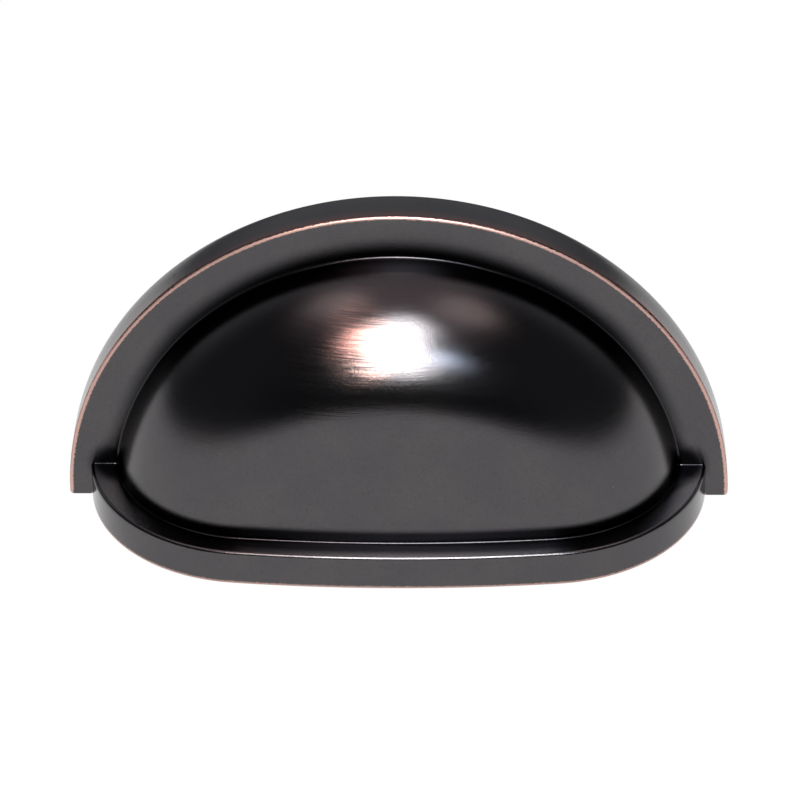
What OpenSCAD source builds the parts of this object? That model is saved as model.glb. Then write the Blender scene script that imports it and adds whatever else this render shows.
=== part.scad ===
// Half-round cup pull for a drawer or cupboard door, die cast in one piece.
// The pull is a half dish on a flat flange, with a band, the lip, round its finger opening.
// +X runs along the width, +Y points into the drawer front and +Z is up.
// The origin lies on the drawer face, midway between the two screw holes.

/* [Flange] */
// Width of the flange across its two lower ends
flange_w = 96; // [90:1:110]
// Thickness of the flange, from the drawer face to its front face
flange_t = 5.8; // [4.6:0.1:7]
// Rounding of the front outer edge of the flange
flange_round = 0.5; // [0.2:0.1:1]

/* [Lip] */
// How far the lip stands out from the drawer face
projection = 28.4; // [27:0.2:36]
// Height of the lip
lip_h = 5.4; // [4:0.1:8]
// How far each end of the lip stays inside the end of the flange
lip_inset = 3.2; // [2:0.1:5]
// Radius of the long front curve of the lip, seen from below
lip_front_r = 230; // [160:5:400]
// Radius of the two corners of the lip, seen from below
lip_corner_r = 23.9; // [18:0.1:25]
// Chamfer that eases the upper outer edge of the lip
lip_ease = 0.4; // [0.2:0.1:1]
// Chamfer that eases the lower outer edge of the lip
lip_foot_ease = 0.2; // [0.1:0.1:1]
// Chamfer that eases the inner edge of the lip for the fingers
finger_chamfer = 0.8; // [0.2:0.1:1.2]

/* [Dish] */
// Width of the ledge on top of the lip, from the lip's face to the dish
ledge = 3.4; // [2:0.1:4.5]
// Wall thickness of the casting
wall = 2; // [1.6:0.1:2.6]
// Root fillet where the dish rises from the flange
root_fillet = 0.3; // [0.2:0.1:1]

/* [Screw bosses] */
// Distance between the two screw holes
hole_pitch = 76.2; // [70:0.1:78]
// Height of the screw holes above the underside of the lip
hole_rise = 8; // [6.5:0.5:12]
// Diameter of the tapping hole for the screw
hole_d = 3.5; // [2.8:0.1:4]
// Metal left between the hole and the front of the pull
hole_skin = 2; // [1.2:0.1:3]
// Width of the countersink at the mouth of each hole
hole_sink = 0.35; // [0.1:0.05:0.6]
// Point angle of the drill that made the holes
drill_point = 118; // [90:1:140]
// Diameter of each boss round a screw hole
boss_d = 8.6; // [7.6:0.1:10]

/* [Hidden] */

// Overshoot that carries a cut past the face it opens
cut = 1;
// How far each corner arc stands proud of the line that it runs into, so that the two cross
arc_lap = 0.01;
// How far each corner arc runs on inside its neighbours, in degrees
arc_overlap = 3;
// How far a cut along a neighbour runs on past the start of the corner arc
cut_overlap = 1.5;
// How far the root fillet bites into the faces that it joins
fillet_bite = 0.002;
$fa = 3;
$fs = 0.4;
// Segments of the very large front circle
front_fn = 720;

flange_r = flange_w / 2;
// Plan of the lip: two corner arcs, tangent to one long front arc
corner_x = flange_r - lip_inset - lip_corner_r;
front_to_corner = lip_front_r - lip_corner_r;
front_y = projection - lip_front_r;
corner_y = front_y + sqrt(front_to_corner ^ 2 - corner_x ^ 2);
// Half angle of the front arc, and with it the place where each corner arc begins
front_half = asin(corner_x / front_to_corner);

// The dish and its hollow follow the plan of the lip at these distances inside it
dish_in = ledge;
hollow_in = ledge + wall;
dish_corner_r = lip_corner_r - dish_in + arc_lap;

// How far the outer surface stands out from the drawer face at a distance r from the dish's axis
function surface_depth(r) =
    let (rise = dish_corner_r ^ 2 - max(r - corner_x, 0) ^ 2)
    max(flange_t, rise > 0 ? corner_y + sqrt(rise) : 0);

hole_x = hole_pitch / 2;
hole_r = hole_d / 2;
// The outer side of a hole comes nearest to the front of the pull, so it sets the depth
hole_depth = surface_depth(norm([hole_x, hole_rise]) + hole_r) - hole_skin;

// Sector of a circle between two angles of under 180 degrees, drawn about the origin
module sector(r, from, to, fn = 0) {
    reach = 2 * r;
    middle = (from + to) / 2;
    intersection() {
        circle(r, $fn = fn);
        polygon([
            [0, 0],
            reach * [cos(from), sin(from)],
            reach * [cos(middle), sin(middle)],
            reach * [cos(to), sin(to)]
        ]);
    }
}

// Half of the lip's plan at a distance inside it: x from the axis, y out from the drawer face
module half_plan(inset, back = 0) {
    r = lip_corner_r - inset;
    translate([corner_x, corner_y])
        sector(r + arc_lap, -arc_overlap, 90 - front_half + arc_overlap);
    translate([0, -back])
        square([corner_x + r, corner_y + back]);
    intersection() {
        translate([0, front_y])
            circle(lip_front_r - inset, $fn = front_fn);
        polygon([
            [0, -back],
            [corner_x, -back],
            [corner_x, corner_y],
            [corner_x, corner_y] + 2 * r * [sin(front_half), cos(front_half)],
            [0, corner_y + 2 * r]
        ]);
    }
}

// Half section of the flange, with its front outer edge rounded
module flange_section() {
    r = flange_round;
    square([flange_r - r, flange_t]);
    square([flange_r, flange_t - r]);
    translate([flange_r - r, flange_t - r])
        sector(r, 0, 90);
}

// Fillet in the corner between the flange and the dish
module root_section() {
    r = root_fillet;
    reach = 2 * r;
    y = flange_t + r;
    x = corner_x + sqrt((dish_corner_r + r) ^ 2 - (y - corner_y) ^ 2);
    to_dish = reach / (dish_corner_r + r) * [corner_x - x, corner_y - y];
    translate([x, y])
        difference() {
            polygon([[0, 0], to_dish, to_dish - [0, reach], [0, -reach]]);
            circle(r + fillet_bite);
        }
}

// Turns a half section about the dish's axis, which stands out from the drawer face
module turned(angle) {
    rotate([90, 0, 0])
        rotate_extrude(angle = angle)
            children();
}

// Runs a section round the lip: x outwards from the lip's face, y upwards
module along_lip() {
    from = 90 - front_half + arc_overlap;
    for (side = [0, 1])
        mirror([side, 0, 0])
            translate([corner_x, 0, 0]) {
                translate([0, -corner_y, 0])
                    rotate([0, 0, -from])
                        rotate_extrude(angle = from + arc_overlap)
                            translate([lip_corner_r + arc_lap, 0])
                                children();
                rotate([90, 0, 0])
                    linear_extrude(corner_y)
                        translate([lip_corner_r, 0])
                            children();
            }
    translate([0, -front_y, 0])
        rotate([0, 0, -90 - front_half])
            rotate_extrude(angle = 2 * front_half, $fn = front_fn)
                translate([lip_front_r, 0])
                    children();
}

// Cuts along the outer face of the lip with a section: x outwards from the face, y upwards
module cut_lip_face() {
    from = 90 - front_half;
    span = front_half + asin(cut_overlap / lip_front_r);
    for (side = [0, 1])
        mirror([side, 0, 0])
            translate([corner_x, 0, 0]) {
                translate([0, -corner_y, 0])
                    rotate([0, 0, -from])
                        rotate_extrude(angle = from)
                            translate([lip_corner_r + arc_lap, 0])
                                children();
                rotate([90, 0, 0])
                    linear_extrude(corner_y + cut_overlap)
                        translate([lip_corner_r, 0])
                            children();
            }
    translate([0, -front_y, 0])
        rotate([0, 0, -90 - span])
            rotate_extrude(angle = 2 * span, $fn = front_fn)
                translate([lip_front_r, 0])
                    children();
}

// The lip as a solid slab with its outer edges eased
module lip() {
    difference() {
        linear_extrude(lip_h)
            mirror([0, 1])
                for (side = [0, 1])
                    mirror([side, 0])
                        half_plan(0);
        cut_lip_face()
            polygon([
                [-lip_ease - cut, lip_h + cut],
                [cut, lip_h - lip_ease - cut],
                [cut, lip_h + cut]
            ]);
        cut_lip_face()
            polygon([
                [-lip_foot_ease - cut, -cut],
                [cut, lip_foot_ease + cut],
                [cut, -cut]
            ]);
    }
}

// Everything that shows from the front, as if it were solid
module outer_form() {
    turned(180) {
        flange_section();
        half_plan(dish_in);
        root_section();
    }
    lip();
}

// The finger space, open at the back and below, and the cored back of the flange
module hollow() {
    turned(360)
        half_plan(hollow_in, cut);
    intersection() {
        rotate([90, 0, 0])
            translate([0, 0, -cut])
                cylinder(h = flange_t - wall + cut, r = flange_r - wall);
        translate([-flange_r, -flange_t, wall])
            cube([flange_w, flange_t + cut, flange_r]);
    }
}

// Puts its children at both screw holes, with z running in from the drawer face
module at_holes() {
    for (side = [-1, 1])
        translate([side * hole_x, 0, hole_rise])
            rotate([90, 0, 0])
                children();
}

// One tapping hole, with its countersunk mouth and the drill's point
module tapping_hole() {
    point = hole_r / tan(drill_point / 2);
    translate([0, 0, -cut])
        cylinder(h = hole_depth + cut, r = hole_r);
    translate([0, 0, hole_depth])
        cylinder(h = point, r1 = hole_r, r2 = 0);
    translate([0, 0, -cut])
        cylinder(h = hole_sink + cut, r1 = hole_r + hole_sink + cut, r2 = hole_r);
}

// Cut that eases the inner edge of the lip
module finger_ease() {
    along_lip()
        polygon([
            [-hollow_in - cut, -cut],
            [-hollow_in + finger_chamfer + cut, -cut],
            [-hollow_in - cut, finger_chamfer + cut]
        ]);
}

// The whole pull: the solid form, cored out except at the bosses, then drilled and eased
module cup_pull() {
    color([0.09, 0.08, 0.08])
        translate([0, 0, -hole_rise])
            difference() {
                difference() {
                    outer_form();
                    difference() {
                        hollow();
                        at_holes()
                            translate([0, 0, -2 * cut])
                                cylinder(h = projection, d = boss_d);
                    }
                    at_holes()
                        tapping_hole();
                }
                finger_ease();
            }
}

cup_pull();
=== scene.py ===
"""Cup pull: the casting with its true roundings, its finish, the floor, the lamps and the camera."""

import math

import bmesh
import bpy
import numpy as np
from mathutils import Matrix, Vector


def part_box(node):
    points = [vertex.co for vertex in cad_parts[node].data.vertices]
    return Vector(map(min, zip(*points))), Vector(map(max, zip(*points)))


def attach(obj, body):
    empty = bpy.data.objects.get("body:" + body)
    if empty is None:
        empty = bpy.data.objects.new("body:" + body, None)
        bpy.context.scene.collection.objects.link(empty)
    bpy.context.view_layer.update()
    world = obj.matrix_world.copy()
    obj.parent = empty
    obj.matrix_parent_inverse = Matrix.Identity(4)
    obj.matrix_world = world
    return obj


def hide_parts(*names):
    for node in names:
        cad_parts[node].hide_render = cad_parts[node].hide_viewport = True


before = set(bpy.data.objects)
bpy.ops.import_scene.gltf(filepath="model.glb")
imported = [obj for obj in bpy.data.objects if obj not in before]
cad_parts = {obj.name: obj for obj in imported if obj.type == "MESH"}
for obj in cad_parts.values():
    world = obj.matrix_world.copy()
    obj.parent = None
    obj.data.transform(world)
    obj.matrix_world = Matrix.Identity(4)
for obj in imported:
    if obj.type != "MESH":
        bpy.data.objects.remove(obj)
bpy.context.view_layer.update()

# Sizes of the casting in millimetres. The height counts from the underside of the lip.
MM = 0.001
BOX_LOW, BOX_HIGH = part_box("cup_pull")
FLANGE_R = (BOX_HIGH.x - BOX_LOW.x) / 2 / MM
PROJECTION = (BOX_HIGH.y - BOX_LOW.y) / MM
HOLE_RISE = -BOX_LOW.z / MM
FLANGE_T = 5.8
FLANGE_ROUND = 0.5
BACK_ROUND = 0.22
BACK_ROUND_LONG = 2.6
END_ROUND = 0.5
LIP_H = 5.4
LIP_INSET = 3.2
LIP_FRONT_R = 230.0
LIP_CORNER_R = 23.9
LIP_ROUND = 0.5
LIP_FOOT_ROUND = 0.15
FINGER_ROUND = 0.9
LEDGE = 3.4
WALL = 2.0
ROOT_FILLET = 0.3
LEDGE_FILLET = 0.22
HOLE_X = 38.1
HOLE_R = 1.75
HOLE_DEPTH = 6.8
HOLE_SINK = 0.35
DRILL_POINT = math.radians(118)
# Radius of the small flat at the drill's point
POINT_R = 0.02
THREAD_DEEP = 0.33
THREAD_PITCH = 0.8
THREAD_LENGTH = 5.8
THREAD_RUNOUT = 0.1
# Share of the pitch that each flank of the thread takes, and how far its crest is cut flat
THREAD_FLANK = 0.4
THREAD_CREST = 1.25
BOSS_R = 4.3
# Overshoot that carries a cut past the face it opens
CUT = 1.0
# How far the turn of the finger space runs on below the lip
OPEN_TURN = math.radians(12)
# Depth at which the lip begins inside the flange
LIP_BACK = 0.4
# How deep the fillet beads are sunk, how far they bite, and how far the corner beads stop short
LEDGE_BEAD_DEEP = 0.4
CORNER_BEAD_DEEP = 0.3
BEAD_BITE = 0.003
BEAD_SHORT = 0.15
# Points that lie closer than this are one point, on the tools and on the finished casting
DOUBLE = 1e-5
JOIN = 0.008
# Most sides of a slit that is closed
SLIT_SIDES = 8
# Edges sharper than this stay sharp
SHARP = math.radians(28)

# Plan of the lip: two corner arcs, tangent to one long front arc
CORNER_X = FLANGE_R - LIP_INSET - LIP_CORNER_R
FRONT_Y = PROJECTION - LIP_FRONT_R
FRONT_HALF = math.asin(CORNER_X / (LIP_FRONT_R - LIP_CORNER_R))
CORNER_Y = FRONT_Y + (LIP_FRONT_R - LIP_CORNER_R) * math.cos(FRONT_HALF)
CORNER_END = math.pi / 2 - FRONT_HALF

# Steps along each stretch of the casting
TURN_STEPS = 260
SIDE_STEPS = 7
CORNER_STEPS = 72
FRONT_STEPS = 60
KNUCKLE_STEPS = 72
CAP_STEPS = 30
ROUND_STEPS = 8
BAND_STEPS = 10
FACE_STEPS = 13
LIP_STEPS = 7
RECESS_STEPS = 160
BOSS_STEPS = 64
HOLE_STEPS = 40
THREAD_STEPS = 10

# Wear of the finish, in millimetres: the middle of the bare rim, inwards and back from its corner
RIM_WEAR_IN = 0.27
RIM_WEAR_BACK = 0.06
# How much thinner the bare rim is at the crown
RIM_THINNER = 0.07
# Slack for telling whether a point lies on a flat face
ON_FACE = 0.01
# Start and rate of the distance that drives the painted shade on the flange's face, and a later start at the
# sides
FACE_START = 2.43
FACE_RATE = 0.576
ASIDE_START = 0.6
ASIDE_LOW = 0.15
ASIDE_SPAN = 0.3
# The same painted shade for the flange's corners above the lip, for the groove above the ledge and for the
# ledge
CORNER_START = 0.9
CORNER_RATE = 0.8
GROOVE_RATE = 1.8
LEDGE_START = 2.2
# Width of the edge band that takes red fuzz, and a distance that no mark reaches
BAND_EDGE = 0.4
OUT_OF_REACH = 9

# Colours of the finish
BRONZE_LOW = (0.090, 0.087, 0.092, 1)
BRONZE_HIGH = (0.099, 0.095, 0.098, 1)
BRONZE_GRAIN = (0.060, 0.050, 0.048, 1)
# Colour of the painted shade in the roots, on the flange's face around the dish and in the groove above the
# ledge
PAINTED_SHADE = (0.007, 0.007, 0.009, 1)
RED_FUZZ = (0.30, 0.13, 0.10, 1)
COPPER_LOW = (0.50, 0.27, 0.22, 1)
COPPER_HIGH = (0.82, 0.57, 0.51, 1)
# Fineness of the patterns in the finish, per metre
BRUSH_SCALE = (130, 0, 5600)
FINE_SCALE = 2600
GRAIN_SCALE = 6500
CLOUD_SCALE = 120
SPECK_SCALE = 260.0
# Rubbed spot on the dish, in metres: middle and half size, across and up
SPOT_X, SPOT_Z = -0.0050, 0.0260
SPOT_W, SPOT_H = 0.0060, 0.0050
# Ranges over which each mark grows from none to full: distances from the edges and roots in millimetres
RIM_RANGE = (0.36, 0.12)
FOOT_RANGE = (0.46, 0.20)
# The painted shade in the roots grows over the first of these ranges, and the second takes part of it back
# off the fillets
PAINTED_SHADE_RANGE = (4.5, 2.6)
FILLET_RANGE = (0.5, 0.25)
FUZZ_RANGE = (2.2, 0.3)
# Upward part of the direction that a face looks in
NOT_UNDER_RANGE = (-0.97, -0.90)
# Reach from the middle of the rubbed spot
SPOT_RANGE = (1.15, 0.25)
STROKE_RANGE = (3.0, 1.0)
# Places along the depth and the height, in metres
SPOT_DEPTH_RANGE = (-0.008, -0.011)
STROKE_DEPTH_RANGE = (-0.0065, -0.009)
STROKE_HEIGHT_RANGE = (-0.002, 0.004)
# Levels of the patterns
CLOUD_RANGE = (0.35, 0.7)
GRAIN_RANGE = (0.50, 0.66)
FUZZ_GRAIN_RANGE = (0.42, 0.58)
BRUSH_RANGE = (0.20, 0.72)
SPECK_DRAW_RANGE = (0.955, 0.965)
SPECK_SIZE_RANGE = (0.034, 0.018)
# How strongly each mark shows
FOOT_SHARE = 0.65
SPECK_SHARE = 0.6
SPOT_SHARE = 0.62
GRAIN_SHARE = 0.55
# Strength of the painted shade in the roots, and how much of it the fillets lose
PAINTED_SHADE_SHARE = 0.95
FILLET_SHARE = 0.38
FUZZ_SHARE = 0.6
RAGGED = 0.5
# How ragged the edge of the painted shade is
RAGGED_SHADE = 0.6
# Roughness of the coat, and what the strokes, the wear and the specks add to it
ROUGH = 0.13
ROUGH_BRUSH = 0.08
ROUGH_WEAR = 0.28
ROUGH_SPECK = 0.40
# Relief of the strokes, away from the rubbed spot and on it, and of the grain
STROKE_RELIEF = 0.10
SPOT_RELIEF = 0.24
GRAIN_RELIEF = 0.45
RELIEF_STRENGTH = 0.5
RELIEF_HEIGHT = 0.00006

# Floor and lamps, in metres
FLOOR_HALF = 3
FLOOR_GREY = (0.9, 0.9, 0.9, 1)
# Share of plain white in what the camera and the metal see of the floor
FLOOR_GLOW = 0.94
MIDDLE = Vector((0, -0.015, 0.010))
LAMP_DISTANCE = 0.8
WHITE = (1, 1, 1)
ROSE = (1, 0.70, 0.66)
BLUE = (0.68, 0.80, 1)
WARM = (1, 0.82, 0.76)
# Name, azimuth and elevation in degrees, size, radiance and colour of each lamp
LAMPS = [
    ("key_high", 4, 62.5, (0.22, 0.34), 18, WHITE),
    ("key_low", 1, 42, (0.26, 0.40), 18, WHITE),
    ("key_warm", -16, 57, (0.20, 0.28), 7, ROSE),
    ("key_cool", 18, 42, (0.17, 0.12), 12, BLUE),
    ("ceiling_left", -97, 70, (0.30, 0.26), 0.9, WARM),
    ("ceiling_right", 85, 67, (0.32, 0.28), 1.0, WARM),
]
# Tones of the room: in front, at the sides, overhead, and behind both low and high
ROOM_FRONT = (0.008, 0.008, 0.011, 1)
ROOM_SIDE = (0.07, 0.07, 0.076, 1)
ROOM_TOP = (0.55, 0.45, 0.46, 1)
ROOM_BACK_LOW = (0.18, 0.185, 0.20, 1)
ROOM_BACK_HIGH = (0.42, 0.43, 0.46, 1)
# Ranges of direction over which those tones take over
SIDE_RANGE = (0.3, 0.9)
TOP_RANGE = (0.74, 0.95)
BACK_RANGE = (0.1, 0.7)
BACK_RISE_RANGE = (0.10, 0.40)

# Camera: what it looks at, from where, how far it is shifted, in metres, and its lens in millimetres
TARGET = Vector((0, -0.012, 0.014))
ELEVATION = math.radians(35.08)
YAW = math.radians(1.45)
ROLL = math.radians(-0.71)
CAMERA_DISTANCE = 0.607
OFF_X, OFF_Y = -0.00057, 0.00070
SENSOR_W = 36
LENS = 192.56
NEAREST, FARTHEST = 0.01, 20


def arc(centre, radius, start, end, steps):
    """Points of a circle's arc, both ends included."""
    angles = np.linspace(start, end, steps + 1)
    return np.column_stack([centre[0] + radius * np.cos(angles), centre[1] + radius * np.sin(angles)])


def mesh_object(name, points, faces):
    """An object from points (x, depth, height) in millimetres, facing outwards."""
    points = np.asarray(points, float)
    data = bpy.data.meshes.new(name)
    data.from_pydata(np.column_stack([points[:, 0], -points[:, 1], points[:, 2]]).tolist(), [], faces)
    obj = bpy.data.objects.new(name, data)
    bpy.context.scene.collection.objects.link(obj)
    tidy_mesh(data)
    return obj


def tidy_mesh(data, join=DOUBLE):
    """Joins double points, closes slits and turns every face outwards."""
    work = bmesh.new()
    work.from_mesh(data)
    bmesh.ops.remove_doubles(work, verts=work.verts, dist=join)
    bmesh.ops.dissolve_degenerate(work, edges=work.edges, dist=join / 10)
    slits = [edge for edge in work.edges if edge.is_boundary]
    bmesh.ops.holes_fill(work, edges=slits, sides=SLIT_SIDES)
    bmesh.ops.recalc_face_normals(work, faces=work.faces)
    work.to_mesh(data)
    work.free()


def loft(name, loops):
    """A closed solid through a row of closed loops with equal counts."""
    loops = np.asarray(loops, float)
    rows, count = loops.shape[:2]
    faces = [list(range(count)), [(rows - 1) * count + i for i in range(count)]]
    for row in range(rows - 1):
        for i in range(count):
            j = (i + 1) % count
            faces.append([row * count + i, row * count + j, (row + 1) * count + j, (row + 1) * count + i])
    return mesh_object(name, loops.reshape(-1, 3), faces)


def turned(name, section, start, end, steps):
    """A solid from a half section (radius, depth), turned about the axis of the dish."""
    section = np.asarray(section, float)
    loops = []
    for angle in np.linspace(start, end, steps + 1):
        loops.append(
            np.column_stack([section[:, 0] * math.cos(angle), section[:, 1], section[:, 0] * math.sin(angle)])
        )
    return loft(name, loops)


def boolean(target, tool, operation):
    """Works the tool into the target and takes the tool away."""
    change = target.modifiers.new("work", "BOOLEAN")
    change.operation = operation
    change.solver = "EXACT"
    change.object = tool
    graph = bpy.context.evaluated_depsgraph_get()
    result = bpy.data.meshes.new_from_object(target.evaluated_get(graph))
    target.modifiers.clear()
    target.data = result
    bpy.data.objects.remove(tool)


def plan_path(inset, back):
    """The lip's plan at a distance inside it, from right to left: places and outward directions."""
    radius = LIP_CORNER_R - inset
    front_r = LIP_FRONT_R - inset
    side = np.linspace(back, CORNER_Y, SIDE_STEPS + 1)[:-1]
    turn = np.linspace(0, CORNER_END, CORNER_STEPS + 1)
    front = np.linspace(FRONT_HALF, 0, FRONT_STEPS // 2 + 1)[1:]
    place = np.concatenate([
        np.column_stack([np.full(len(side), CORNER_X + radius), side]),
        np.column_stack([CORNER_X + radius * np.cos(turn), CORNER_Y + radius * np.sin(turn)]),
        np.column_stack([front_r * np.sin(front), FRONT_Y + front_r * np.cos(front)]),
    ])
    out = np.concatenate([
        np.column_stack([np.ones(len(side)), np.zeros(len(side))]),
        np.column_stack([np.cos(turn), np.sin(turn)]),
        np.column_stack([np.sin(front), np.cos(front)]),
    ])
    flip = np.array([-1, 1])
    return np.concatenate([place, place[-2::-1] * flip]), np.concatenate([out, out[-2::-1] * flip])


def body_section():
    """Half section of flange and dish, as if solid: radius and depth."""
    dish_r = LIP_CORNER_R - LEDGE
    fillet_y = FLANGE_T + ROOT_FILLET
    fillet_x = CORNER_X + math.sqrt((dish_r + ROOT_FILLET) ** 2 - (fillet_y - CORNER_Y) ** 2)
    meets = math.atan2(fillet_y - CORNER_Y, fillet_x - CORNER_X)
    cap_r = LIP_FRONT_R - LEDGE
    face_out = FLANGE_R - FLANGE_ROUND
    band_front = FLANGE_T - FLANGE_ROUND
    quarter = arc([0, 0], 1, -math.pi / 2, 0, ROUND_STEPS)
    band = np.linspace(BACK_ROUND_LONG, band_front, BAND_STEPS + 1)[1:-1]
    face = np.linspace(face_out, fillet_x, FACE_STEPS + 1)[1:-1]
    return np.concatenate([
        [[0, 0], [FLANGE_R / 2, 0]],
        quarter * [BACK_ROUND, BACK_ROUND_LONG] + [FLANGE_R - BACK_ROUND, BACK_ROUND_LONG],
        np.column_stack([np.full(len(band), FLANGE_R), band]),
        arc([face_out, band_front], FLANGE_ROUND, 0, math.pi / 2, ROUND_STEPS),
        np.column_stack([face, np.full(len(face), FLANGE_T)]),
        arc([fillet_x, fillet_y], ROOT_FILLET, -math.pi / 2, meets - math.pi, ROUND_STEPS),
        arc([CORNER_X, CORNER_Y], dish_r, meets, CORNER_END, KNUCKLE_STEPS)[1:],
        arc([0, FRONT_Y], cap_r, CORNER_END, math.pi / 2, CAP_STEPS)[1:],
    ])


def lip_slab():
    """The lip as a solid slab with both outer edges rounded."""
    foot = arc([LIP_FOOT_ROUND, LIP_FOOT_ROUND], LIP_FOOT_ROUND, -math.pi / 2, -math.pi, ROUND_STEPS)
    head = arc([LIP_ROUND, LIP_H - LIP_ROUND], LIP_ROUND, math.pi, math.pi / 2, ROUND_STEPS)
    rise = np.linspace(LIP_FOOT_ROUND, LIP_H - LIP_ROUND, LIP_STEPS + 1)[1:-1]
    wall = np.column_stack([np.zeros(len(rise)), rise])
    loops = []
    for inset, height in np.concatenate([foot, wall, head]):
        place, _ = plan_path(inset, LIP_BACK)
        loops.append(np.column_stack([place, np.full(len(place), height)]))
    return loft("lip", loops)


def ledge_bead():
    """The fillet in the corner between the dish and the ledge, as a solid bead."""
    r = LEDGE_FILLET
    deep = LEDGE_BEAD_DEEP
    height = LIP_H + r
    knuckle_r = LIP_CORNER_R - LEDGE + r
    cap_r = LIP_FRONT_R - LEDGE + r
    places, normals = [], []
    first = math.asin((FLANGE_T - deep - CORNER_Y) / knuckle_r)
    for angle in np.linspace(first, CORNER_END, CORNER_STEPS + 1):
        radius = CORNER_X + knuckle_r * math.cos(angle)
        x = math.sqrt(radius ** 2 - height ** 2)
        places.append([x, CORNER_Y + knuckle_r * math.sin(angle), height])
        normals.append([math.cos(angle) * x / radius, math.sin(angle), math.cos(angle) * height / radius])
    for x in np.linspace(places[-1][0], 0, FRONT_STEPS // 2 + 1)[1:]:
        radius = math.hypot(x, height)
        slope = math.asin(radius / cap_r)
        places.append([x, FRONT_Y + cap_r * math.cos(slope), height])
        normals.append([x / cap_r, math.cos(slope), height / cap_r])
    flip = np.array([-1, 1, 1])
    places, normals = np.array(places), np.array(normals)
    places = np.concatenate([places, places[-2::-1] * flip])
    normals = np.concatenate([normals, normals[-2::-1] * flip])
    up = np.array([0.0, 0.0, 1.0])
    loops = []
    for place, normal in zip(places, normals):
        open_angle = math.acos(np.clip(np.dot(normal, up), -1, 1))
        ring = []
        for share in np.linspace(0, 1, ROUND_STEPS + 1):
            way = math.sin((1 - share) * open_angle) * up + math.sin(share * open_angle) * normal
            ring.append(place - (r + BEAD_BITE) * (way / math.sin(open_angle)))
        ring.append(place - (r + deep) * normal)
        ring.append(place - (r + deep) * (normal + up))
        ring.append(place - (r + deep) * up)
        loops.append(ring)
    return loft("ledge_bead", loops)


def corner_bead(side):
    """The short fillet where one end of the ledge runs into the flange, as a solid bead."""
    r = LEDGE_FILLET
    ring = arc([FLANGE_T + r, LIP_H + r], r + BEAD_BITE, -math.pi / 2, -math.pi, ROUND_STEPS)
    low, back = LIP_H - CORNER_BEAD_DEEP, FLANGE_T - CORNER_BEAD_DEEP
    section = np.concatenate([ring, [[back, LIP_H + r], [back, low], [FLANGE_T + r, low]]])
    lip_end = FLANGE_R - LIP_INSET
    from_x, to_x = lip_end - LEDGE - CUT, lip_end - LIP_ROUND - BEAD_SHORT
    return loft("corner_bead", [
        np.column_stack([np.full(len(section), side * x), section]) for x in (from_x, to_x)
    ])


def prism(name, outline, front, back):
    """A solid with an outline (x, height) that runs along the depth."""
    across, height = np.asarray(outline, float).T
    return loft(name, [
        np.column_stack([across, np.full(len(across), depth), height]) for depth in (back, front)
    ])


def cored_space():
    """The finger space with the cored back of the flange, less the two bosses."""
    radius = LIP_CORNER_R - LEDGE - WALL
    cap_r = LIP_FRONT_R - LEDGE - WALL
    section = np.concatenate([
        [[0, -CUT], [CORNER_X + radius, -CUT]],
        arc([CORNER_X, CORNER_Y], radius, 0, CORNER_END, KNUCKLE_STEPS),
        arc([0, FRONT_Y], cap_r, CORNER_END, math.pi / 2, CAP_STEPS)[1:],
    ])
    space = turned("finger_space", section, -OPEN_TURN, math.pi + OPEN_TURN, TURN_STEPS)
    rim = FLANGE_R - WALL
    low = math.asin(WALL / rim)
    outline = arc([0, 0], rim, low, math.pi - low, RECESS_STEPS)
    recess = prism("recess", outline, FLANGE_T - WALL, -CUT)
    boolean(space, recess, "UNION")
    for side in (-1, 1):
        ring = arc([side * HOLE_X, HOLE_RISE], BOSS_R, 0, 2 * math.pi, BOSS_STEPS)[:-1]
        boolean(space, prism("boss", ring, PROJECTION, -2 * CUT), "DIFFERENCE")
    return space


def hole_radius(depth, share):
    """Radius of a tapped hole at a depth and a share of a turn."""
    phase = (depth / THREAD_PITCH - share) % 1
    tooth = max(0.0, 1 - abs(phase - 0.5) / THREAD_FLANK)
    in_thread = 0 <= depth < THREAD_LENGTH
    radius = HOLE_R + THREAD_DEEP * min(1.0, THREAD_CREST * tooth) * in_thread
    return max(radius, HOLE_R + HOLE_SINK - max(depth, 0))


def tapped_hole(side):
    """The space of one tapped hole: countersunk mouth, thread and the drill's point."""
    steps = range(HOLE_STEPS)
    thread = np.arange(0, THREAD_LENGTH, THREAD_PITCH / THREAD_STEPS)
    depths = np.concatenate([[-CUT], thread, [THREAD_LENGTH + THREAD_RUNOUT, HOLE_DEPTH]])
    rings = [(depth, [hole_radius(depth, i / HOLE_STEPS) for i in steps]) for depth in depths]
    tip = HOLE_DEPTH + (HOLE_R - POINT_R) / math.tan(DRILL_POINT / 2)
    rings.append((tip, [POINT_R] * HOLE_STEPS))
    loops = []
    for depth, radii in rings:
        ring = []
        for i, radius in zip(steps, radii):
            angle = 2 * math.pi * i / HOLE_STEPS
            x = side * HOLE_X + radius * math.cos(angle)
            ring.append([x, depth, HOLE_RISE + radius * math.sin(angle)])
        loops.append(ring)
    return loft("hole", loops)


def finger_edge():
    """What is taken off to round the inner edge of the lip."""
    place, out = plan_path(LEDGE + WALL, -CUT)
    corner = arc([FINGER_ROUND, FINGER_ROUND], FINGER_ROUND, -math.pi / 2, -math.pi, ROUND_STEPS)
    section = np.concatenate([[[-CUT, -CUT], [FINGER_ROUND, -CUT]], corner, [[-CUT, FINGER_ROUND]]])
    loops = []
    for (x, depth), (nx, ny) in zip(place, out):
        loops.append([[x + nx * across, depth + ny * across, height] for across, height in section])
    return loft("finger_edge", loops)


def end_edge(side):
    """What is taken off to round one lower end of the flange."""
    r = END_ROUND
    round_off = arc([FLANGE_R - r, r], r, -math.pi / 2, 0, ROUND_STEPS)
    outer = [[FLANGE_R - r, -CUT], [FLANGE_R + CUT, -CUT], [FLANGE_R + CUT, r]]
    outline = np.concatenate([outer, round_off[::-1]])
    return prism("end_edge", outline * [side, 1], FLANGE_T + CUT, -CUT)


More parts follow.
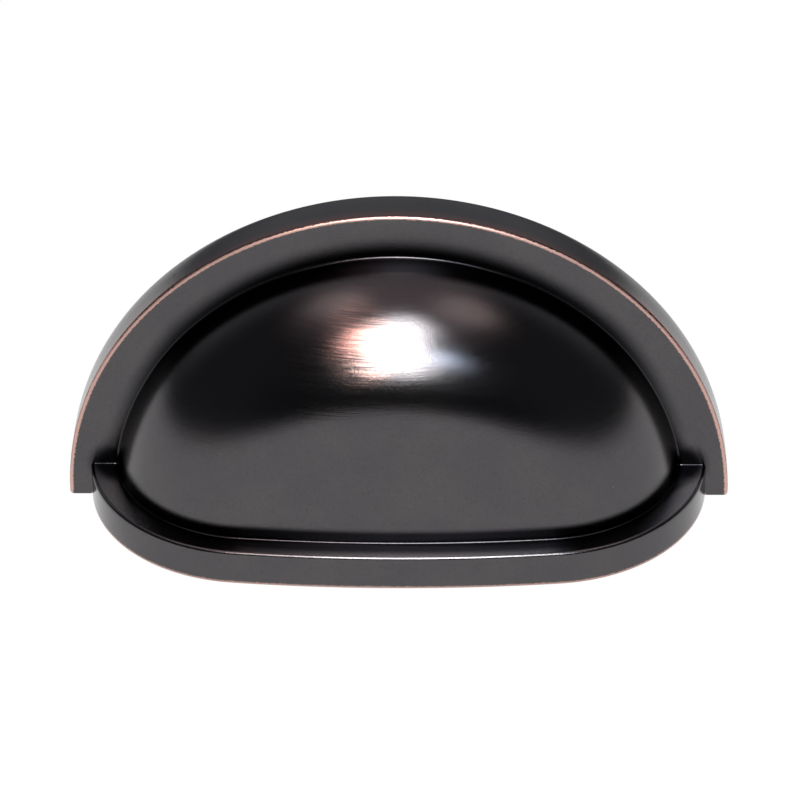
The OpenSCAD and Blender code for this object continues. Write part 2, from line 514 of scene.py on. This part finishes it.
def casting():
    """The whole pull in one mesh, in the frame of the CAD node."""
    pull = turned("cup_pull_casting", body_section(), 0, math.pi, TURN_STEPS)
    boolean(pull, lip_slab(), "UNION")
    boolean(pull, ledge_bead(), "UNION")
    for side in (-1, 1):
        boolean(pull, corner_bead(side), "UNION")
        boolean(pull, end_edge(side), "DIFFERENCE")
    boolean(pull, cored_space(), "DIFFERENCE")
    for side in (-1, 1):
        boolean(pull, tapped_hole(side), "DIFFERENCE")
    boolean(pull, finger_edge(), "DIFFERENCE")
    tidy_mesh(pull.data, JOIN)
    mark_wear_and_shade(pull.data)
    pull.data.transform(Matrix.Translation((0, 0, -HOLE_RISE * MM)) @ Matrix.Scale(MM, 4))
    pull.data.shade_smooth()
    pull.data.set_sharp_from_angle(angle=SHARP)
    weigh = pull.modifiers.new("even_normals", "WEIGHTED_NORMAL")
    weigh.keep_sharp = True
    return pull


def plan_gap(across, depth):
    """How far points lie inside the plan of the lip, in millimetres."""
    in_corner = across - CORNER_X > math.tan(FRONT_HALF) * (depth - CORNER_Y)
    return np.where(
        in_corner,
        LIP_CORNER_R - np.hypot(across - CORNER_X, depth - CORNER_Y),
        LIP_FRONT_R - np.hypot(across, depth - FRONT_Y),
    )


def mark_wear_and_shade(data):
    """Keeps how far each point is, in millimetres, from the rubbed edges and from the roots that take painted
    shade.
    """
    flat = np.empty(len(data.vertices) * 3)
    data.vertices.foreach_get("co", flat)
    x, y, z = flat.reshape(-1, 3).T
    depth = -y
    radius = np.hypot(x, z)
    crown = (z / np.maximum(radius, 1)) ** 2
    rim = np.hypot(radius - (FLANGE_R - RIM_WEAR_IN), depth - (FLANGE_T - RIM_WEAR_BACK))
    rim += RIM_THINNER * crown ** 4
    inside = plan_gap(np.abs(x), depth)
    low = LIP_FOOT_ROUND * (1 - math.sqrt(0.5))
    foot = np.hypot(inside - low, z - low)
    # Distances that drive the painted shade: in the groove above the ledge, at the root of the dish and on
    # the flange's face around it
    ledge_gap = np.hypot(inside - LEDGE, z - LIP_H)
    groove = ledge_gap * GROOVE_RATE + LEDGE_START * (z < LIP_H + ON_FACE)
    root_r = CORNER_X + math.sqrt((LIP_CORNER_R - LEDGE) ** 2 - (FLANGE_T - CORNER_Y) ** 2)
    root = np.hypot(radius - root_r, depth - FLANGE_T)
    aside = 1 - np.clip((crown - ASIDE_LOW) / ASIDE_SPAN, 0, 1)
    face = FACE_START + FACE_RATE * root + ASIDE_START * aside
    face = np.minimum(face, CORNER_START + CORNER_RATE * ledge_gap)
    root = np.where(depth < FLANGE_T + ON_FACE, face, root)
    root += OUT_OF_REACH * (depth < FLANGE_T - ON_FACE)
    band = np.abs(FLANGE_T - depth) + OUT_OF_REACH * (radius < FLANGE_R - BAND_EDGE)
    hollow = plan_gap(radius, depth) > LEDGE + WALL / 2
    marks = {
        "rim_gap": rim,
        "foot_gap": foot,
        "painted_shade_gap": np.minimum(root, groove) + OUT_OF_REACH * hollow,
        "band_gap": band,
        "outside": 1.0 - hollow,
    }
    for name, values in marks.items():
        layer = data.attributes.new(name, "FLOAT", "POINT")
        layer.data.foreach_set("value", values)


class Nodes:
    """Short ways to add shader nodes to one tree, which starts empty."""

    def __init__(self, tree):
        self.tree = tree
        tree.nodes.clear()

    def add(self, kind, inputs=None, **settings):
        node = self.tree.nodes.new(kind)
        for key, value in settings.items():
            setattr(node, key, value)
        for key, value in (inputs or {}).items():
            if isinstance(value, bpy.types.NodeSocket):
                self.tree.links.new(value, node.inputs[key])
            else:
                node.inputs[key].default_value = value
        return node

    def math(self, operation, a, b=0.0):
        return self.add("ShaderNodeMath", {0: a, 1: b}, operation=operation).outputs[0]

    def plus(self, a, b):
        return self.math("ADD", a, b)

    def times(self, a, b):
        return self.math("MULTIPLY", a, b)

    def larger(self, a, b):
        return self.math("MAXIMUM", a, b)

    def mix(self, share, a, b):
        """Mixes two colours."""
        return self.add("ShaderNodeMix", {"Factor": share, 6: a, 7: b}, data_type="RGBA").outputs[2]

    def step(self, value, limits):
        """Runs smoothly from 0 at the first limit to 1 at the second."""
        start, end = limits
        return self.add(
            "ShaderNodeMapRange",
            {"Value": value, "From Min": start, "From Max": end},
            interpolation_type="SMOOTHSTEP",
        ).outputs[0]

    def noise(self, vector, scale, detail, rough):
        return self.add(
            "ShaderNodeTexNoise", {"Vector": vector, "Scale": scale, "Detail": detail, "Roughness": rough}
        ).outputs["Fac"]

    def stretch(self, vector, scale):
        return self.add("ShaderNodeMapping", {"Vector": vector, "Scale": scale}).outputs[0]

    def parts(self, vector):
        return self.add("ShaderNodeSeparateXYZ", {0: vector}).outputs

    def mark(self, name):
        """A value that mark_wear_and_shade keeps on the mesh."""
        return self.add("ShaderNodeAttribute", attribute_name=name).outputs["Fac"]


def new_material(name):
    """An empty material and its nodes."""
    material = bpy.data.materials.new(name)
    material.use_nodes = True
    return material, Nodes(material.node_tree)


def edge_wear(n, facing, ragged):
    """Bare lines along the rim of the flange and the foot of the lip, but not under the lip."""
    rim_line = n.step(n.plus(n.mark("rim_gap"), ragged), RIM_RANGE)
    foot_line = n.step(n.plus(n.mark("foot_gap"), ragged), FOOT_RANGE)
    foot_line = n.times(foot_line, n.step(n.parts(facing)[2], NOT_UNDER_RANGE))
    return n.larger(rim_line, n.times(foot_line, FOOT_SHARE))


def small_specks(n, place):
    """A few bare specks, far apart."""
    cells = n.add("ShaderNodeTexVoronoi", {"Vector": place, "Scale": SPECK_SCALE}).outputs
    draw = n.add("ShaderNodeSeparateColor", {0: cells["Color"]}).outputs[0]
    return n.times(n.step(draw, SPECK_DRAW_RANGE), n.step(cells["Distance"], SPECK_SIZE_RANGE))


def spot_reach(n, across, up):
    """How far a point lies from the middle of the rubbed spot, with 1 at the edge of its ellipse."""
    wide = n.math("DIVIDE", n.math("SUBTRACT", across, SPOT_X), SPOT_W)
    high = n.math("DIVIDE", n.math("SUBTRACT", up, SPOT_Z), SPOT_H)
    return n.math("SQRT", n.plus(n.math("POWER", wide, 2.0), n.math("POWER", high, 2.0)))


def dark_coat_and_shade(n, place, grain, ragged):
    """The dark coat: cloudy and grainy, with painted shade in the roots, reddish beside the rim."""
    cloud = n.noise(place, CLOUD_SCALE, detail=3.0, rough=0.55)
    dark = n.mix(n.step(cloud, CLOUD_RANGE), BRONZE_LOW, BRONZE_HIGH)
    dark = n.mix(n.times(n.step(grain, GRAIN_RANGE), GRAIN_SHARE), dark, BRONZE_GRAIN)
    # Painted shade in the roots and on the flange's face around the dish, less of it in the fillets
    root = n.mark("painted_shade_gap")
    recess = n.step(n.plus(root, n.times(ragged, RAGGED_SHADE)), PAINTED_SHADE_RANGE)
    in_fillet = n.times(n.step(root, FILLET_RANGE), FILLET_SHARE)
    dark = n.mix(n.times(recess, n.math("SUBTRACT", PAINTED_SHADE_SHARE, in_fillet)), dark, PAINTED_SHADE)
    fuzz = n.times(n.step(n.mark("band_gap"), FUZZ_RANGE), n.step(grain, FUZZ_GRAIN_RANGE))
    return n.mix(n.times(fuzz, FUZZ_SHARE), dark, RED_FUZZ)


def bronze():
    """Dark oil-rubbed bronze: near black, softly brushed, rubbed bare along the edges."""
    material, n = new_material("dark_bronze_finish")
    coordinates = n.add("ShaderNodeTexCoord").outputs
    place, facing = coordinates["Object"], coordinates["Normal"]
    across, along, up = n.parts(place)
    outside = n.mark("outside")
    brushed = n.noise(n.stretch(place, BRUSH_SCALE), 1.0, detail=1.6, rough=0.55)
    fine = n.noise(place, FINE_SCALE, detail=3.0, rough=0.6)
    grain = n.noise(place, GRAIN_SCALE, detail=2.0, rough=0.5)
    ragged = n.times(n.math("SUBTRACT", fine, 0.5), RAGGED)

    spot = spot_reach(n, across, up)
    rubbed = n.times(n.step(spot, SPOT_RANGE), n.step(along, SPOT_DEPTH_RANGE))
    rubbed = n.times(n.times(rubbed, outside), n.step(brushed, BRUSH_RANGE))
    specks = small_specks(n, place)
    wear = n.larger(edge_wear(n, facing, ragged), n.times(specks, SPECK_SHARE))
    bare = n.larger(wear, n.times(rubbed, SPOT_SHARE))
    copper = n.mix(fine, COPPER_LOW, COPPER_HIGH)
    colour = n.mix(bare, dark_coat_and_shade(n, place, grain, ragged), copper)

    rough = n.plus(ROUGH, n.times(brushed, ROUGH_BRUSH))
    rough = n.plus(rough, n.times(wear, ROUGH_WEAR))
    rough = n.plus(rough, n.times(specks, ROUGH_SPECK))

    on_dish = n.times(n.step(along, STROKE_DEPTH_RANGE), n.step(up, STROKE_HEIGHT_RANGE))
    on_dish = n.times(on_dish, outside)
    stroked = n.plus(STROKE_RELIEF, n.times(n.step(spot, STROKE_RANGE), SPOT_RELIEF))
    strokes = n.times(brushed, n.times(on_dish, stroked))
    relief = n.plus(strokes, n.times(grain, GRAIN_RELIEF))
    bump = n.add(
        "ShaderNodeBump", {"Height": relief, "Strength": RELIEF_STRENGTH, "Distance": RELIEF_HEIGHT}
    ).outputs[0]

    surface = n.add(
        "ShaderNodeBsdfPrincipled",
        {"Base Color": colour, "Metallic": 1.0, "Roughness": rough, "Normal": bump},
    ).outputs[0]
    n.add("ShaderNodeOutputMaterial", {"Surface": surface})
    return material


def white_floor():
    """Floor that looks white, also in the metal, and still takes the soft shadow of the pull."""
    material, n = new_material("white_floor")
    path = n.add("ShaderNodeLightPath").outputs
    seen = n.larger(path["Is Camera Ray"], path["Is Glossy Ray"])
    seen = n.larger(seen, path["Is Transmission Ray"])
    matt = n.add("ShaderNodeBsdfDiffuse", {"Color": FLOOR_GREY}).outputs[0]
    glow = n.add("ShaderNodeEmission", {"Color": (*WHITE, 1), "Strength": 1.0}).outputs[0]
    both = n.add("ShaderNodeMixShader", {"Fac": n.times(seen, FLOOR_GLOW), 1: matt, 2: glow}).outputs[0]
    n.add("ShaderNodeOutputMaterial", {"Surface": both})
    return material


def floor():
    """A level square under the pull."""
    r = FLOOR_HALF
    corners = [(-r, -r), (r, -r), (r, r), (-r, r)]
    data = bpy.data.meshes.new("floor")
    data.from_pydata([(x, y, BOX_LOW.z) for x, y in corners], [], [[0, 1, 2, 3]])
    data.materials.append(white_floor())
    obj = bpy.data.objects.new("floor", data)
    bpy.context.scene.collection.objects.link(obj)


def lamp(name, azimuth, elevation, size, radiance, colour):
    """A soft area lamp aimed at the pull. Azimuth 0 lies straight in front and turns to the right."""
    a, e = math.radians(azimuth), math.radians(elevation)
    away = Vector((math.sin(a) * math.cos(e), -math.cos(a) * math.cos(e), math.sin(e)))
    data = bpy.data.lights.new(name, "AREA")
    data.shape = "ELLIPSE"
    data.size, data.size_y = size
    data.energy = radiance * math.pi * math.pi / 4 * size[0] * size[1]
    data.color = colour
    obj = bpy.data.objects.new(name, data)
    obj.location = MIDDLE + away * LAMP_DISTANCE
    obj.rotation_euler = away.to_track_quat("Z", "Y").to_euler()
    bpy.context.scene.collection.objects.link(obj)


def room():
    """The room that the metal mirrors: dark in front, dim at the sides, brighter overhead and behind."""
    world = bpy.data.worlds.new("room")
    bpy.context.scene.world = world
    world.use_nodes = True
    n = Nodes(world.node_tree)
    across, along, up = n.parts(n.add("ShaderNodeTexCoord").outputs["Generated"])
    shade = n.mix(n.step(n.math("ABSOLUTE", across), SIDE_RANGE), ROOM_FRONT, ROOM_SIDE)
    shade = n.mix(n.step(up, TOP_RANGE), shade, ROOM_TOP)
    behind = n.mix(n.step(up, BACK_RISE_RANGE), ROOM_BACK_LOW, ROOM_BACK_HIGH)
    shade = n.mix(n.step(along, BACK_RANGE), shade, behind)
    light = n.add("ShaderNodeBackground", {"Color": shade, "Strength": 1.0}).outputs[0]
    n.add("ShaderNodeOutputWorld", {"Surface": light})


def camera():
    """The camera at the angle of the picture."""
    back = Vector((
        math.sin(YAW) * math.cos(ELEVATION),
        -math.cos(YAW) * math.cos(ELEVATION),
        math.sin(ELEVATION),
    ))
    right = Vector((math.cos(YAW), math.sin(YAW), 0))
    up = back.cross(right)
    right, up = (
        right * math.cos(ROLL) + up * math.sin(ROLL),
        up * math.cos(ROLL) - right * math.sin(ROLL),
    )
    data = bpy.data.cameras.new("camera")
    data.sensor_width = SENSOR_W
    data.lens = LENS
    data.clip_start, data.clip_end = NEAREST, FARTHEST
    obj = bpy.data.objects.new("camera", data)
    place = TARGET + back * CAMERA_DISTANCE - right * OFF_X - up * OFF_Y
    obj.matrix_world = Matrix((
        (right.x, up.x, back.x, place.x),
        (right.y, up.y, back.y, place.y),
        (right.z, up.z, back.z, place.z),
        (0, 0, 0, 1),
    ))
    bpy.context.scene.collection.objects.link(obj)
    bpy.context.scene.camera = obj


pull = casting()
pull.data.materials.clear()
pull.data.materials.append(bronze())
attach(pull, "root")
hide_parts("cup_pull")
floor()
for settings in LAMPS:
    lamp(*settings)
room()
camera()
bpy.context.scene.view_settings.view_transform = "Standard"
